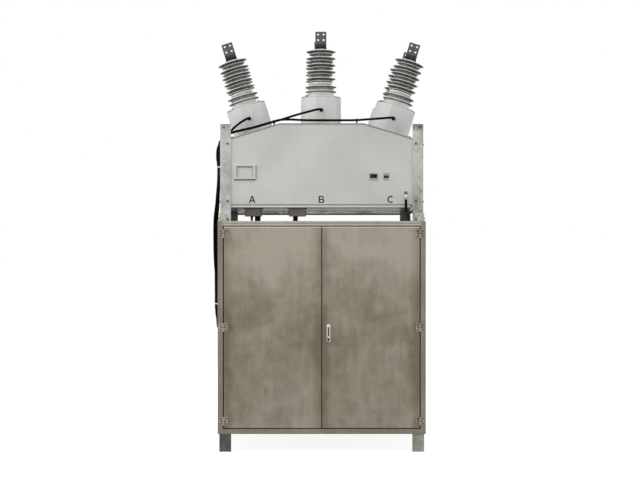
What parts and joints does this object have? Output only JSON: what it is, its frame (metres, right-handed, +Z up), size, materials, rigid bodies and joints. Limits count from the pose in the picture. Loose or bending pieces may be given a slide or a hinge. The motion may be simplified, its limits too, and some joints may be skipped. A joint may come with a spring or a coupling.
{
  "type": "outdoor vacuum circuit breaker",
  "caption": "Outdoor medium-voltage vacuum circuit breaker: steel tank with leaning ribbed bushings on a post frame over a two-door control cabinet on short legs.",
  "frame": {"origin": "on the ground, at the middle of the four legs", "axes": "+Z up, -Y the side with the cabinet doors, +X to the right when looking at the doors"},
  "size_m": [1.5095, 1.033, 2.989],
  "materials": {
    "tank_paint": "satin light grey paint",
    "galvanised": "dull mottled zinc",
    "cabinet_sheet": "weathered stainless sheet, brownish and mottled",
    "frame_sheet": "weathered stainless sheet",
    "hinge_steel": "dull steel",
    "chrome_trim": "polished chrome plate",
    "housing_paint": "satin pale grey paint",
    "silicone_rubber": "matte grey silicone rubber",
    "terminal_metal": "dark oxidised flat bar",
    "black_cable": "black sheath with a slight gloss",
    "black_plastic": "moulded black nylon",
    "white_plastic": "white nylon ties",
    "box_paint": "dark grey paint",
    "lug_metal": "tinned dull metal"
  },
  "bodies": {
    "root": {"legs": "galvanised", "cabinet_floor": "frame_sheet", "cabinet_roof": "frame_sheet", "cabinet_back": "cabinet_sheet", "cabinet_side_left": "cabinet_sheet", "cabinet_side_right": "cabinet_sheet", "front_stile_left": "frame_sheet", "front_stile_right": "frame_sheet", "front_rail_top": "frame_sheet", "front_rail_bottom": "frame_sheet", "hinge_frame_leaves_left": "hinge_steel", "hinge_frame_leaves_right": "hinge_steel", "post_cleats": "galvanised", "rear_cross_rail": "galvanised", "tank_floor": "tank_paint", "tank_front": "tank_paint", "tank_back": "tank_paint", "tank_side_left": "tank_paint", "tank_side_right": "tank_paint", "tank_roof": "tank_paint", "cable_glands": "black_plastic", "ct_cable_a": "black_cable", "ct_cable_b": "black_cable", "ct_cable_c": "black_cable", "cable_clips": "black_plastic", "cable_ties": "white_plastic", "cable_entry_plate": "black_plastic", "under_tank_boxes": "box_paint", "nameplate_holder": "tank_paint", "indicator_windows": "tank_paint", "earth_lead": "lug_metal", "post_front_left": "galvanised", "post_front_right": "galvanised", "ct_housing_front_a": "housing_paint", "bushing_front_a": "silicone_rubber", "terminal_front_a": "terminal_metal", "ct_housing_front_b": "housing_paint", "bushing_front_b": "silicone_rubber", "terminal_front_b": "terminal_metal", "ct_housing_front_c": "housing_paint", "bushing_front_c": "silicone_rubber", "terminal_front_c": "terminal_metal", "post_rear_left": "galvanised", "post_rear_right": "galvanised", "ct_housing_rear_a": "housing_paint", "bushing_rear_a": "silicone_rubber", "terminal_rear_a": "terminal_metal", "ct_housing_rear_b": "housing_paint", "bushing_rear_b": "silicone_rubber", "terminal_rear_b": "terminal_metal", "ct_housing_rear_c": "housing_paint", "bushing_rear_c": "silicone_rubber", "terminal_rear_c": "terminal_metal"},
    "door_left": {"door_left": "cabinet_sheet", "hinge_door_leaves_left": "hinge_steel"},
    "door_right": {"door_right": "cabinet_sheet", "hinge_door_leaves_right": "hinge_steel", "handle_backplate": "chrome_trim"},
    "handle": {"handle_lever": "chrome_trim"}
  },
  "joints": [
    {"name": "door_left_hinge", "type": "hinge", "parent": "root", "child": "door_left", "pos_m": [-0.688, -0.512, 0.8725], "axis": [0, 0, -1], "range_deg": [0, 110]},
    {"name": "door_right_hinge", "type": "hinge", "parent": "root", "child": "door_right", "pos_m": [0.688, -0.512, 0.8725], "axis": [0, 0, 1], "range_deg": [0, 110]},
    {"name": "handle_turn", "type": "hinge", "parent": "door_right", "child": "handle", "pos_m": [0.047, -0.506, 0.882], "axis": [0, -1, 0], "range_deg": [0, 90]}
  ]
}
